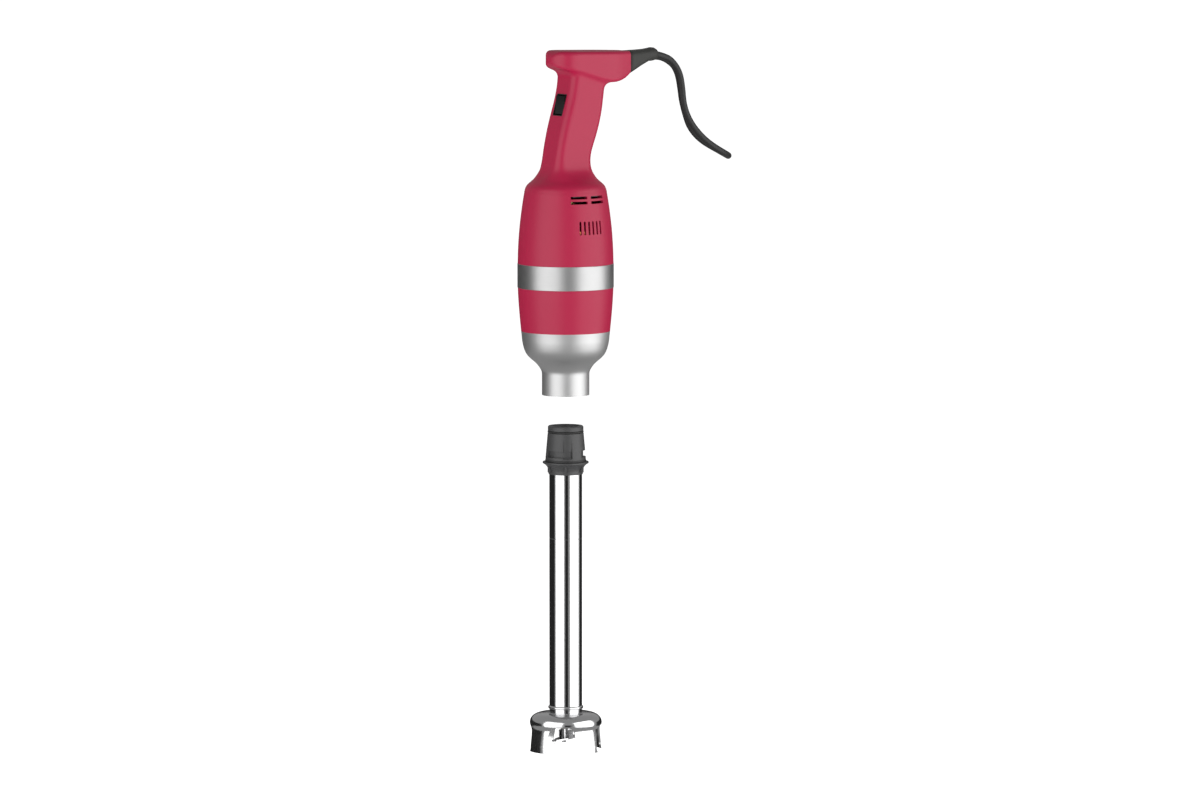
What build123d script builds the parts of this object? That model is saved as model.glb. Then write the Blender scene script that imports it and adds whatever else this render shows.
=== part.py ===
from build123d import *
from math import cos, pi, radians, sin, tan
import os

os.makedirs("parts", exist_ok=True)

# Frame: millimetres, +Z up along the working axis. The origin is the centre of the
# motor unit's neck rim. The motor unit stands above it, the shaft hangs below it,
# withdrawn from the neck. The switch faces -X, and the hammer head points to +X.

# ---- Driving dimensions ------------------------------------------------------
wall = 2.6                      # moulded housing wall

neck_radius = 23.85             # nose neck that the shaft couples to
neck_length = 21.0
nose_top = 64.5                 # nose to housing joint
nose_top_radius = 44.7
bore_mouth_radius = 20.75
bore_radius = 19.8
bore_step = 12.5                # height where the bore narrows
bore_depth = 36.6
pillar_circle = 25.0            # radius of the nose screws' circle
web = 4.0                       # bore end wall

band_bottom = 108.4             # steel trim band
band_top = 132.5
band_radius = 48.35
band_thickness = 0.7

shoulder_start = 204.0          # round barrel ends, blend to the handle starts
handle_height = 330.0           # handle section ends inside the head

head_top = 346.0                # hammer head
head_front = -19.6
head_back = 70.0
head_half_width = 21.0
junction_fillet = 8.0           # between the handle and the head
gland_tip = 110.0
cord_exit = (110.0, 0.0, 338.0)
inner_lead_start = 40.0         # x where the lead's inner end begins

lean = 15.0                     # lean of the handle's front face, degrees
switch_centre = (-6.9, 291.6)   # x and z on the handle's front face
rocker_width = 14.6
rocker_height = 20.4
rocker_throw = 16.0             # degrees from off to on

bearing_radius = 11.0           # 8 x 22 x 7 ball bearings
bearing_width = 7.0
rotor_radius = 4.0
running_gap = 0.05

travel = 67.2                   # how far the shaft goes up into the neck
twist = 60.0                    # bayonet turn
lug_angles = (-118.0, 2.0, 122.0)
lug_width = 24.0                # degrees
slot_width = 28.0               # degrees

plug_top = -31.3
plug_groove = -36.0
plug_shoulder = -38.4
channel_top = -55.8
channel_bottom = -62.4
gasket_top = -65.2
flange_top = -67.4
flange_radius = 23.15
collar_end = -80.0
collar_radius = 17.3

tube_radius = 16.5
tube_wall = 1.2
tube_top = -72.5
tube_end = -318.5
mark_height = -144.8            # engraved filling line

bell_foot = -360.0
bell_wall = 1.6
window_turn = 48.7              # degrees, centre of the first window
rod_top = -40.0                 # drive rod, from its dog down to the blade's nut
rod_bottom = -351.6
blade_plane = -348.0
blade_reach = 25.5

cord_diameter = 7.0
hank_turns = 4
hank_centre_depth = 75.0        # hank centre behind the axis, along the back direction
hank_top = 204.0
hank_run = 104.0
hank_fold = 22.0                # centreline radius of the hank's folds
back_angle = 55.7               # azimuth of the direction that the hank hangs in, degrees


def ring(outer, inner, bottom, top):
    """A plain turned ring about the working axis."""
    with BuildPart() as turned:
        with BuildSketch(Plane.XY.offset(bottom)):
            Circle(outer)
            Circle(inner, mode=Mode.SUBTRACT)
        extrude(amount=top - bottom)
    return turned.part


# ---- Housing form --------------------------------------------------------------
# The outer form and the hollow are the same shape, the hollow inset by the wall.
# Handle sections: height, centre x, half length in x, half width in y, corner radius.
handle_sections = [
    (shoulder_start, 0.0, 41.4, 41.4, 41.1),
    (208.5, 0.0, 40.1, 40.1, 39.7),
    (212.0, 0.0, 37.6, 37.6, 37.0),
    (216.0, 0.0, 32.4, 31.8, 29.5),
    (220.0, 0.0, 27.8, 26.0, 20.0),
    (226.0, 0.2, 23.7, 20.6, 12.5),
    (234.0, 0.6, 21.5, 18.2, 9.0),
    (244.0, 2.0, 21.0, 17.7, 8.0),
    (256.0, 5.2, 21.9, 17.7, 8.0),
    (270.0, 9.2, 22.5, 17.8, 8.0),
    (284.0, 13.0, 22.1, 17.8, 8.0),
    (298.0, 16.2, 21.2, 17.6, 8.0),
    (313.0, 19.0, 21.0, 17.6, 8.0),
    (handle_height, 21.5, 21.5, 17.6, 8.0),
]


def barrel_form(inset):
    """Round barrel from the nose joint to the shoulder."""
    with BuildPart() as barrel:
        with BuildSketch(Plane.XZ):
            with BuildLine():
                Spline(
                    (nose_top_radius - inset, nose_top),
                    (46.6 - inset, 85.0),
                    (48.1 - inset, 112.0),
                    (48.15 - inset, 128.0),
                    (47.3 - inset, 155.0),
                    (45.2 - inset, 178.0),
                    (41.4 - inset, shoulder_start),
                )
                Line((41.4 - inset, shoulder_start), (0, shoulder_start))
                Line((0, shoulder_start), (0, nose_top))
                Line((0, nose_top), (nose_top_radius - inset, nose_top))
            make_face()
        revolve(axis=Axis.Z)
    return barrel.part


def handle_form(inset):
    """Shoulder and leaning handle, lofted from the barrel's round to a soft rectangle."""
    with BuildPart() as handle:
        for height, centre, half_x, half_y, corner in handle_sections:
            with BuildSketch(Plane.XY.offset(height)):
                with Locations((centre, 0)):
                    RectangleRounded(2 * (half_x - inset), 2 * (half_y - inset), corner - inset)
        loft()
    return handle.part


def head_form(inset):
    """Hammer head: a side outline crossed with a plan outline, the outer edges rounded."""
    front = head_front + inset
    back_face = head_back - inset
    top = head_top - inset
    half = head_half_width - inset
    tail = 13.6 - inset
    with BuildPart() as head:
        with BuildSketch(Plane.XZ):
            with BuildLine():
                Line((-10.0, top), (back_face, top - 2.5))
                Line((back_face, top - 2.5), (back_face, 320.5 + inset))
                Spline(
                    (back_face, 320.5 + inset), (61.0, 315.6 + inset), (48.0, 313.2 + inset),
                    (34.0, 314.6 + inset), (16.0, 319.8 + inset), (-4.0, 325.6 + inset),
                    (-12.0, 328.2 + inset),
                )
                ThreePointArc((-12.0, 328.2 + inset), (front, 338.0), (-10.0, top))
            make_face()
        extrude(amount=30, both=True)
        with BuildSketch(Plane.XY.offset(300)):
            with BuildLine():
                Line((1.4, half), (28.0, half))
                Spline((28.0, half), (50.0, 19.4 - inset), (back_face, tail), tangents=[(1, 0), (1, -0.32)])
                Line((back_face, tail), (back_face, -tail))
                Spline((back_face, -tail), (50.0, inset - 19.4), (28.0, -half),
                       tangents=[(-1, -0.32), (-1, 0)])
                Line((28.0, -half), (1.4, -half))
                ThreePointArc((1.4, -half), (front, 0), (1.4, half))
            make_face()
        extrude(amount=60, mode=Mode.INTERSECT)
        if inset == 0:
            rims = [edge for edge in head.edges() if edge.center().X < back_face - 0.5 and edge.length > 12]
            fillet(rims, 4.5)
    return head.part


switch_plane = Plane(
    origin=(switch_centre[0], 0, switch_centre[1]),
    x_dir=(0, -1, 0),
    z_dir=(-cos(radians(lean)), 0, sin(radians(lean))),
)

screw_places = [(1.5, 238.0), (8.0, 262.0), (-8.5, 337.5), (57.0, 331.0)]
boss_radius = 4.2
screw_shank = 1.5
screw_head = 3.1

# Cutters for the cooling slots, on both flanks.
with BuildPart() as vent_cutters:
    for flank in (-90.0, 90.0):
        for step in range(6):
            angle = radians(flank + (step - 2.5) * 6.0)
            slot_plane = Plane(
                origin=(0, 0, 170.8), x_dir=(-sin(angle), cos(angle), 0), z_dir=(cos(angle), sin(angle), 0)
            )
            with BuildSketch(slot_plane):
                SlotOverall(13.6, 2.1, rotation=90)
            extrude(amount=60)
        for side in (-1, 1):
            start = radians(flank + side * 14.9 - 12.0)
            row_plane = Plane(
                origin=(0, 0, 0), x_dir=(cos(start), sin(start), 0), z_dir=(sin(start), -cos(start), 0)
            )
            with BuildSketch(row_plane):
                with Locations((45, 201.0), (45, 196.0)):
                    Rectangle(24, 2.8)
            revolve(axis=Axis.Z, revolution_arc=24)


with BuildPart() as hollow:
    add([barrel_form(wall), handle_form(wall), head_form(wall)])
    with BuildSketch(Plane.XY.offset(nose_top - 1)):
        Circle(nose_top_radius - wall)
    extrude(amount=2)

def same_edge(one, other):
    """Whether two edges have the same middle and length."""
    return (one.center() - other.center()).length < 0.05 and abs(one.length - other.length) < 0.05


# The handle runs into the head through soft fillets, on every edge that neither form has
# by itself.
with BuildPart() as grip_form:
    add([handle_form(0), head_form(0)])
    own_edges = [*handle_form(0).edges(), *head_form(0).edges()]
    junction_edges = [
        edge for edge in grip_form.edges()
        if not any(same_edge(edge, own) for own in own_edges)
    ]
    fillet(junction_edges, junction_fillet)

with BuildPart() as outer_form:
    add([barrel_form(0), grip_form.part])

with BuildPart() as shell:
    add(outer_form.part)
    add(hollow.part, mode=Mode.SUBTRACT)

# The whole housing, made once and then parted on the handle's plane.
with BuildPart() as ribbed_shell:
    add(shell.part)
    # Ribs that carry the motor's stack and the bearing bridge.
    for rib_bottom, rib_inner, rib_outer in (
        (nose_top, 37.0, 43.5), (127.0, 41.2, 46.0), (157.0, 41.2, 45.6), (199.0, 36.5, 40.5)
    ):
        with BuildSketch(Plane.XY.offset(rib_bottom)):
            Circle(rib_outer)
            Circle(rib_inner, mode=Mode.SUBTRACT)
        extrude(amount=2.0)

with BuildPart() as housing:
    add(ribbed_shell.part)
    # Screw bosses across the parting line.
    with BuildSketch(Plane.XZ.offset(-15.6)):
        with Locations(screw_places):
            Circle(boss_radius)
    extrude(amount=31.2)
    # Seat of the steel band.
    with BuildSketch(Plane.XY.offset(band_bottom)):
        Circle(band_radius + 2)
        Circle(band_radius - band_thickness, mode=Mode.SUBTRACT)
    extrude(amount=band_top - band_bottom, mode=Mode.SUBTRACT)
    add(vent_cutters.part, mode=Mode.SUBTRACT)
    # Switch opening, and the mouth that the gland plugs into.
    with BuildSketch(switch_plane.offset(-6)):
        Rectangle(16.6, 22.6)
    extrude(amount=12, mode=Mode.SUBTRACT)
    with BuildSketch(Plane.YZ.offset(head_back - 6)):
        with Locations((0, 332.0)):
            RectangleRounded(20.4, 17.4, 4.0)
    extrude(amount=10, mode=Mode.SUBTRACT)
    # A shallow channel in the ceiling of the head, where the lead runs to the gland.
    with BuildSketch(Plane.YZ.offset(inner_lead_start - 2)):
        with Locations((cord_exit[1], cord_exit[2])):
            Circle(cord_diameter / 2 + 0.1)
    extrude(amount=head_back + 4 - inner_lead_start, mode=Mode.SUBTRACT)
    # Screws go in from the left flank: a pocket for each head, a hole for each shank.
    with BuildSketch(Plane.XZ.offset(-30)):
        with Locations(screw_places):
            Circle(screw_head + 0.3)
    extrude(amount=18, mode=Mode.SUBTRACT)
    with BuildSketch(Plane.XZ.offset(-30)):
        with Locations(screw_places):
            Circle(screw_shank + 0.1)
    extrude(amount=42, mode=Mode.SUBTRACT)

with BuildPart() as housing_right:
    add(housing.part)
    split(bisect_by=Plane.XZ, keep=Keep.TOP)
housing_right.part.label = "housing_right"
export_step(housing_right.part, "parts/housing_right.step")

with BuildPart() as housing_left:
    add(housing.part)
    split(bisect_by=Plane.XZ, keep=Keep.BOTTOM)
housing_left.part.label = "housing_left"
export_step(housing_left.part, "parts/housing_left.step")

# Steel band that ties the two halves together.
with BuildPart() as trim_band:
    add(ring(band_radius, band_radius - band_thickness, band_bottom, band_top))
    fillet(trim_band.edges().group_by(Axis.Z)[0].sort_by(SortBy.RADIUS)[-1:], 0.3)
    fillet(trim_band.edges().group_by(Axis.Z)[-1].sort_by(SortBy.RADIUS)[-1:], 0.3)
trim_band.part.label = "trim_band"
export_step(trim_band.part, "parts/trim_band.step")

# ---- Nose casting with the coupling bore ---------------------------------------
with BuildPart() as nose_casting:
    with BuildSketch(Plane.XZ):
        with BuildLine():
            Polyline((bore_mouth_radius, 0), (neck_radius, 0), (neck_radius, neck_length))
            Spline(
                (neck_radius, neck_length), (25.6, 26.6), (30.4, 32.6), (37.2, 38.6), (41.6, 46.0),
                (43.6, 54.5), (nose_top_radius, nose_top), tangents=[(0, 1), (0.12, 1)],
            )
            Line((nose_top_radius, nose_top), (42.0, nose_top))
            Spline((42.0, nose_top), (40.6, 54.0), (36.0, 45.0), (30.0, bore_depth + web))
            Polyline(
                (30.0, bore_depth + web), (15.0, bore_depth + web), (15.0, bore_depth + web + 9.0),
                (bearing_radius + running_gap, bore_depth + web + 9.0),
                (bearing_radius + running_gap, bore_depth + web), (8.6, bore_depth + web),
                (8.6, bore_depth), (bore_radius, bore_depth), (bore_radius, bore_step),
                (bore_mouth_radius, bore_step), (bore_mouth_radius, 0),
            )
        make_face()
    revolve(axis=Axis.Z)
    # Bayonet lugs inside the bore.
    for angle in lug_angles:
        start = radians(angle - lug_width / 2)
        lug_plane = Plane(
            origin=(0, 0, 0), x_dir=(cos(start), sin(start), 0), z_dir=(sin(start), -cos(start), 0)
        )
        with BuildSketch(lug_plane):
            with Locations((20.0, 8.3)):
                Rectangle(2.2, 4.6)
        revolve(axis=Axis.Z, revolution_arc=lug_width)
    # Threaded pillars for the screws that hold the nose to the housing.
    with BuildSketch(Plane.XY.offset(bore_depth + web - 0.5)):
        with PolarLocations(pillar_circle, 3, start_angle=30):
            Circle(4.0)
    extrude(amount=26.4)
    with BuildSketch(Plane.XY.offset(bore_depth + web + 25.9)):
        with PolarLocations(pillar_circle, 3, start_angle=30):
            Circle(1.6)
    extrude(amount=-14.0, mode=Mode.SUBTRACT)
nose_casting.part.label = "nose_casting"
export_step(nose_casting.part, "parts/nose_casting.step")

bearing_seat = bore_depth + web

# Lip seal round the drive socket's neck, in the bore's end wall.
with BuildPart() as output_seal:
    add(ring(8.55, 6.7, bore_depth + 0.3, bearing_seat - 0.3))
output_seal.part.label = "output_seal"
export_step(output_seal.part, "parts/output_seal.step")

# Screws that draw the plate down on the pillars and so clamp the nose to the housing.
with BuildPart() as nose_screws:
    with BuildSketch(Plane.XY.offset(bearing_seat + 14.0)):
        with PolarLocations(pillar_circle, 3, start_angle=30):
            Circle(1.55)
    extrude(amount=13.9)
    with BuildSketch(Plane.XY.offset(bearing_seat + 27.9)):
        with PolarLocations(pillar_circle, 3, start_angle=30):
            Circle(3.2)
    extrude(amount=2.2)
nose_screws.part.label = "nose_screws"
export_step(nose_screws.part, "parts/nose_screws.step")

# Plate that rests on the housing's bottom lip and clamps it to the nose.
with BuildPart() as nose_plate:
    with BuildSketch(Plane.XY.offset(bearing_seat + 26.0)):
        Circle(41.0)
        Circle(17.5, mode=Mode.SUBTRACT)
        with PolarLocations(pillar_circle, 3, start_angle=30):
            Circle(1.7, mode=Mode.SUBTRACT)
        with PolarLocations(30.0, 3, start_angle=90):
            Circle(7.0, mode=Mode.SUBTRACT)
    extrude(amount=1.7)
nose_plate.part.label = "nose_plate"
export_step(nose_plate.part, "parts/nose_plate.step")

# ---- Motor: parts fixed in the housing -----------------------------------------
stack_bottom = 130.0
stack_top = 156.0
bridge_height = 201.2

with BuildPart() as stator_core:
    with BuildSketch(Plane.XY.offset(stack_bottom - 1.0)):
        Circle(42.5)
        Circle(24.2, mode=Mode.SUBTRACT)
        with PolarLocations(33.0, 2, start_angle=0):
            RectangleRounded(9.0, 30.0, 3.0, mode=Mode.SUBTRACT)
    extrude(amount=stack_top - stack_bottom + 2.0)
stator_core.part.label = "stator_core"
export_step(stator_core.part, "parts/stator_core.step")

# Field coils: one loop of wire each side, seen as end windings above and below the stack.
with BuildPart() as field_coils:
    for bottom in (stack_bottom - 11.0, stack_top + 1.2):
        with BuildSketch(Plane.XY.offset(bottom)):
            Circle(39.5)
            Circle(26.5, mode=Mode.SUBTRACT)
            Rectangle(90, 10, mode=Mode.SUBTRACT)
        extrude(amount=9.8)
fillet(field_coils.edges().filter_by(GeomType.CIRCLE), 2.0)
field_coils.part.label = "field_coils"
export_step(field_coils.part, "parts/field_coils.step")

with BuildPart() as lower_bearing:
    bearing_bottom = bearing_seat + 0.4
    add(ring(bearing_radius, rotor_radius + running_gap, bearing_bottom, bearing_bottom + bearing_width))
lower_bearing.part.label = "lower_bearing"
export_step(lower_bearing.part, "parts/lower_bearing.step")

with BuildPart() as bearing_bridge:
    with BuildSketch(Plane.XY.offset(bridge_height)):
        Rectangle(30, 71)
        Circle(7.0, mode=Mode.SUBTRACT)
    extrude(amount=3.0)
    with BuildSketch(Plane.XY.offset(bridge_height + 3.0)):
        Circle(14.0)
        Circle(bearing_radius + running_gap, mode=Mode.SUBTRACT)
    extrude(amount=bearing_width)
bearing_bridge.part.label = "bearing_bridge"
export_step(bearing_bridge.part, "parts/bearing_bridge.step")

with BuildPart() as upper_bearing:
    bearing_bottom = bridge_height + 3.0
    add(ring(bearing_radius, rotor_radius + running_gap, bearing_bottom, bearing_bottom + bearing_width))
upper_bearing.part.label = "upper_bearing"
export_step(upper_bearing.part, "parts/upper_bearing.step")

# Brush gear: brass boxes on the X axis, a carbon in each, and the spring that presses it.
brush_bottom = 184.0
brush_width = 8.0
brush_height = 6.4
commutator_radius = 12.0

with BuildPart() as brush_holders:
    with BuildSketch(Plane.YZ.offset(14.5)):
        with Locations((0, brush_bottom + brush_height / 2)):
            Rectangle(brush_width + 2.4, brush_height + 2.4)
            Rectangle(brush_width + 0.2, brush_height + 0.2, mode=Mode.SUBTRACT)
    extrude(amount=20.0)
    mirror(about=Plane.YZ)
brush_holders.part.label = "brush_holders"
export_step(brush_holders.part, "parts/brush_holders.step")

with BuildPart() as carbon_brushes:
    with BuildSketch(Plane.YZ.offset(commutator_radius + 0.2)):
        with Locations((0, brush_bottom + brush_height / 2)):
            Rectangle(brush_width, brush_height)
    extrude(amount=13.0)
    mirror(about=Plane.YZ)
carbon_brushes.part.label = "carbon_brushes"
export_step(carbon_brushes.part, "parts/carbon_brushes.step")

with BuildPart() as brush_springs:
    with BuildSketch(Plane.YZ.offset(commutator_radius + 13.4)):
        with Locations((0, brush_bottom + brush_height / 2)):
            Circle(2.6)
            Circle(1.9, mode=Mode.SUBTRACT)
    extrude(amount=8.4)
    mirror(about=Plane.YZ)
brush_springs.part.label = "brush_springs"
export_step(brush_springs.part, "parts/brush_springs.step")

# Suppression capacitor, lying in the handle.
with BuildPart() as capacitor:
    with BuildSketch(Plane.XY.offset(243.0)):
        with Locations((4.0, 0)):
            RectangleRounded(9.0, 20.0, 1.5)
    extrude(amount=14.0)
capacitor.part.label = "capacitor"
export_step(capacitor.part, "parts/capacitor.step")

# ---- Motor: rotor -----------------------------------------------------------------
with BuildPart() as motor_shaft:
    with BuildSketch(Plane.XY.offset(36.0)):
        Circle(rotor_radius)
    extrude(amount=178.0)
    chamfer(motor_shaft.edges().group_by(Axis.Z)[-1], 0.5)
motor_shaft.part.label = "motor_shaft"
export_step(motor_shaft.part, "parts/motor_shaft.step")

lobe_count = 6


def lobed_outline(tip_radius, root_radius, lobe_radius):
    """Six round lobes on a round core, the profile of the drive dog and of its socket."""
    Circle(root_radius)
    with PolarLocations(tip_radius - lobe_radius, lobe_count):
        Circle(lobe_radius)


# Female drive socket on the motor's lower end.
socket_bottom = 24.3
socket_height = 11.8
with BuildPart() as drive_socket:
    with BuildSketch(Plane.XY.offset(socket_bottom)):
        Circle(10.4)
    extrude(amount=socket_height)
    with BuildSketch(Plane.XY.offset(socket_bottom + socket_height)):
        Circle(6.6)
    extrude(amount=bearing_seat - socket_bottom - socket_height)
    with BuildSketch(Plane.XY.offset(socket_bottom)):
        lobed_outline(7.4, 5.4, 2.1)
    extrude(amount=9.6, mode=Mode.SUBTRACT)
    with BuildSketch(Plane.XY.offset(36.0)):
        Circle(rotor_radius)
    extrude(amount=8.0, mode=Mode.SUBTRACT)
    chamfer(drive_socket.edges().group_by(Axis.Z)[0].sort_by(SortBy.LENGTH)[-1:], 1.0)
drive_socket.part.label = "drive_socket"
export_step(drive_socket.part, "parts/drive_socket.step")

# Cooling fan above the nose.
fan_bottom = 74.0
with BuildPart() as cooling_fan:
    with BuildSketch(Plane.XY.offset(fan_bottom)):
        Circle(36.0)
        Circle(rotor_radius, mode=Mode.SUBTRACT)
    extrude(amount=1.8)
    with BuildSketch(Plane.XY.offset(fan_bottom)):
        Circle(8.5)
        Circle(rotor_radius, mode=Mode.SUBTRACT)
    extrude(amount=16.0)
    with BuildSketch(Plane.XY.offset(fan_bottom + 1.8)):
        with PolarLocations(22.5, 9):
            Rectangle(26.0, 1.6, rotation=18)
    extrude(amount=14.0)
cooling_fan.part.label = "cooling_fan"
export_step(cooling_fan.part, "parts/cooling_fan.step")

with BuildPart() as armature_core:
    with BuildSketch(Plane.XY.offset(stack_bottom)):
        Circle(23.6)
        Circle(rotor_radius, mode=Mode.SUBTRACT)
        with PolarLocations(19.2, 12):
            SlotOverall(8.0, 4.2, mode=Mode.SUBTRACT)
    extrude(amount=stack_top - stack_bottom)
armature_core.part.label = "armature_core"
export_step(armature_core.part, "parts/armature_core.step")

with BuildPart() as armature_coils:
    for bottom in (stack_bottom - 10.2, stack_top + 0.2):
        with BuildSketch(Plane.XY.offset(bottom)):
            Circle(20.5)
            Circle(rotor_radius + 1.5, mode=Mode.SUBTRACT)
        extrude(amount=10.0)
fillet(armature_coils.edges().filter_by(GeomType.CIRCLE).filter_by(lambda e: e.radius > 15), 3.0)
armature_coils.part.label = "armature_coils"
export_step(armature_coils.part, "parts/armature_coils.step")

with BuildPart() as commutator:
    with BuildSketch(Plane.XY.offset(176.0)):
        Circle(commutator_radius)
        Circle(rotor_radius, mode=Mode.SUBTRACT)
        with PolarLocations(commutator_radius, 24):
            Rectangle(1.6, 0.6, mode=Mode.SUBTRACT)
    extrude(amount=19.0)
commutator.part.label = "commutator"
export_step(commutator.part, "parts/commutator.step")

# ---- Switch -----------------------------------------------------------------------
rocker_pivot_depth = 4.2        # below the handle's front face


with BuildPart() as switch_frame:
    with BuildSketch(switch_plane.offset(-9.0)):
        Rectangle(16.4, 22.4)
        Rectangle(14.9, 21.0, mode=Mode.SUBTRACT)
    extrude(amount=9.3)
switch_frame.part.label = "switch_frame"
export_step(switch_frame.part, "parts/switch_frame.step")

with BuildPart() as switch_body:
    with BuildSketch(switch_plane.offset(-9.2)):
        Rectangle(14.4, 20.6)
    extrude(amount=-9.0)
    with BuildSketch(switch_plane.offset(-18.2)):
        with Locations((0, -6.5), (0, 0), (0, 6.5)):
            Rectangle(4.8, 0.8)
    extrude(amount=-6.0)
switch_body.part.label = "switch_body"
export_step(switch_body.part, "parts/switch_body.step")

# The rocker tips about a pin across the handle. At rest its top end stands out.
pivot_x = switch_centre[0] + rocker_pivot_depth * cos(radians(lean))
pivot_z = switch_centre[1] - rocker_pivot_depth * sin(radians(lean))
rocker_plane = Plane(origin=(pivot_x, 0, pivot_z), x_dir=switch_plane.z_dir, z_dir=(0, -1, 0))
with BuildPart() as switch_rocker:
    with BuildSketch(rocker_plane):
        with BuildLine():
            Polyline((-3.0, 3.6), (1.4, 9.3), (3.6, 9.1))
            ThreePointArc((3.6, 9.1), (4.4, 0.0), (6.2, -9.1))
            Polyline((6.2, -9.1), (3.6, -9.5), (-3.0, -3.6), (-3.0, 3.6))
        make_face()
    extrude(amount=rocker_width / 2, both=True)
    # Bore of the rocker's pivot.
    with BuildSketch(rocker_plane):
        Circle(1.1)
    extrude(amount=rocker_width, both=True, mode=Mode.SUBTRACT)
switch_rocker.part.label = "switch_rocker"
export_step(switch_rocker.part, "parts/switch_rocker.step")

# ---- Cable gland and cord clamp ---------------------------------------------------
with BuildPart() as cable_gland:
    for x, low, high, half in (
        (head_back, 320.6, 343.4, 13.5), (82.0, 325.4, 343.6, 11.6), (94.0, 330.0, 344.0, 9.2),
        (100.0, 331.8, 344.6, 7.9), (105.0, 331.6, 344.8, 7.2), (gland_tip, 332.4, 343.6, 6.2),
    ):
        with BuildSketch(Plane.YZ.offset(x)):
            with Locations((0, (low + high) / 2)):
                RectangleRounded(2 * half, high - low, min(half, (high - low) / 2) - 1.0)
    loft()
    with BuildSketch(Plane.YZ.offset(head_back - 5.6)):
        with Locations((0, 332.0)):
            RectangleRounded(20.0, 17.0, 3.8)
    extrude(amount=6.0)
    with BuildSketch(Plane.YZ.offset(head_back - 6)):
        with Locations((cord_exit[1], cord_exit[2])):
            Circle(cord_diameter / 2)
    extrude(amount=60, mode=Mode.SUBTRACT)
cable_gland.part.label = "cable_gland"
export_step(cable_gland.part, "parts/cable_gland.step")

# The lead's stretch inside the head, from the clamp to the gland's mouth.
with BuildPart() as inner_lead:
    with BuildSketch(Plane.YZ.offset(inner_lead_start)):
        with Locations((cord_exit[1], cord_exit[2])):
            Circle(cord_diameter / 2 - 0.05)
    extrude(amount=gland_tip - 0.8 - inner_lead_start)
inner_lead.part.label = "inner_lead"
export_step(inner_lead.part, "parts/inner_lead.step")

with BuildPart() as cord_clamp:
    with BuildSketch(Plane.YZ.offset(44.0)):
        with Locations((0, 332.6)):
            Rectangle(24.0, 3.6)
    extrude(amount=7.5)
cord_clamp.part.label = "cord_clamp"
export_step(cord_clamp.part, "parts/cord_clamp.step")

with BuildPart() as clamp_screws:
    with BuildSketch(Plane.XY.offset(322.0)):
        with Locations((47.5, -9.0), (47.5, 9.0)):
            Circle(1.4)
    extrude(amount=8.7)
    with BuildSketch(Plane.XY.offset(334.5)):
        with Locations((47.5, -9.0), (47.5, 9.0)):
            Circle(2.8)
    extrude(amount=2.0)
clamp_screws.part.label = "clamp_screws"
export_step(clamp_screws.part, "parts/clamp_screws.step")

with BuildPart() as housing_screws:
    with BuildSketch(Plane.XZ.offset(-12.05)):
        with Locations(screw_places):
            Circle(screw_head)
    extrude(amount=-2.2)
    with BuildSketch(Plane.XZ.offset(-12.05)):
        with Locations(screw_places):
            Circle(screw_shank)
    extrude(amount=22.0)
housing_screws.part.label = "housing_screws"
export_step(housing_screws.part, "parts/housing_screws.step")

# ---- Shaft: seal and coupling plug ------------------------------------------------
with BuildPart() as seal_ring:
    add(ring(20.6, 19.35, flange_top + 0.05, gasket_top - 0.05))
    fillet(seal_ring.edges().filter_by(GeomType.CIRCLE).sort_by(SortBy.RADIUS)[-2:], 0.4)
seal_ring.part.label = "seal_ring"
export_step(seal_ring.part, "parts/seal_ring.step")

cavity_radius = 13.5
cavity_floor = -45.3
rod_radius = 3.0
bush_radius = 5.4
slot_floor_radius = 18.5
channel_floor_radius = 17.6
rib_angle = -124.3              # one of the six ribs under the flange

with BuildPart() as coupling_plug:
    with BuildSketch(Plane.XZ):
        with BuildLine():
            Polyline(
                (cavity_radius, plug_top), (17.2, plug_top), (17.9, plug_top - 0.9), (17.9, plug_groove),
                (16.6, plug_groove - 0.5), (16.6, plug_shoulder + 0.4), (17.9, plug_shoulder),
                (18.15, plug_shoulder - 0.6), (20.2, gasket_top + 2.6), (20.3, gasket_top),
                (19.25, gasket_top), (19.25, flange_top), (flange_radius - 0.3, flange_top),
                (flange_radius, flange_top - 0.3), (flange_radius, flange_top - 1.5),
            )
            ThreePointArc((flange_radius, flange_top - 1.5), (19.3, -71.9), (collar_radius, -76.4))
            Polyline(
                (collar_radius, -76.4), (collar_radius, collar_end), (tube_radius + 0.05, collar_end),
                (tube_radius + 0.05, tube_top), (bush_radius, tube_top), (bush_radius, cavity_floor),
                (cavity_radius, cavity_floor), (cavity_radius, plug_top),
            )
        make_face()
    revolve(axis=Axis.Z)
    # Bayonet: a straight way in for each lug, then a channel that it turns along.
    for angle in lug_angles:
        for span, centre_height, height, floor_radius in (
            (slot_width, (plug_top + channel_bottom) / 2, plug_top - channel_bottom + 2, slot_floor_radius),
            (slot_width + twist, (channel_top + channel_bottom) / 2, channel_top - channel_bottom,
             channel_floor_radius),
        ):
            start = radians(angle + slot_width / 2 - span)
            slot_plane = Plane(
                origin=(0, 0, 0), x_dir=(cos(start), sin(start), 0), z_dir=(sin(start), -cos(start), 0)
            )
            with BuildSketch(slot_plane):
                with Locations((floor_radius + 4.0, centre_height)):
                    Rectangle(8.0, height)
            revolve(axis=Axis.Z, revolution_arc=span, mode=Mode.SUBTRACT)
    # Ribs under the flange.
    with BuildSketch(Plane.XY.offset(-77.6)):
        with PolarLocations(18.6, 6, start_angle=rib_angle):
            Rectangle(3.4, 2.2)
    extrude(amount=9.4)
coupling_plug.part.label = "coupling_plug"
export_step(coupling_plug.part, "parts/coupling_plug.step")

with BuildPart() as o_ring:
    with BuildSketch(Plane.XZ):
        with Locations((17.45, (plug_groove + plug_shoulder) / 2)):
            Circle(0.8)
    revolve(axis=Axis.Z)
o_ring.part.label = "o_ring"
export_step(o_ring.part, "parts/o_ring.step")

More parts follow.
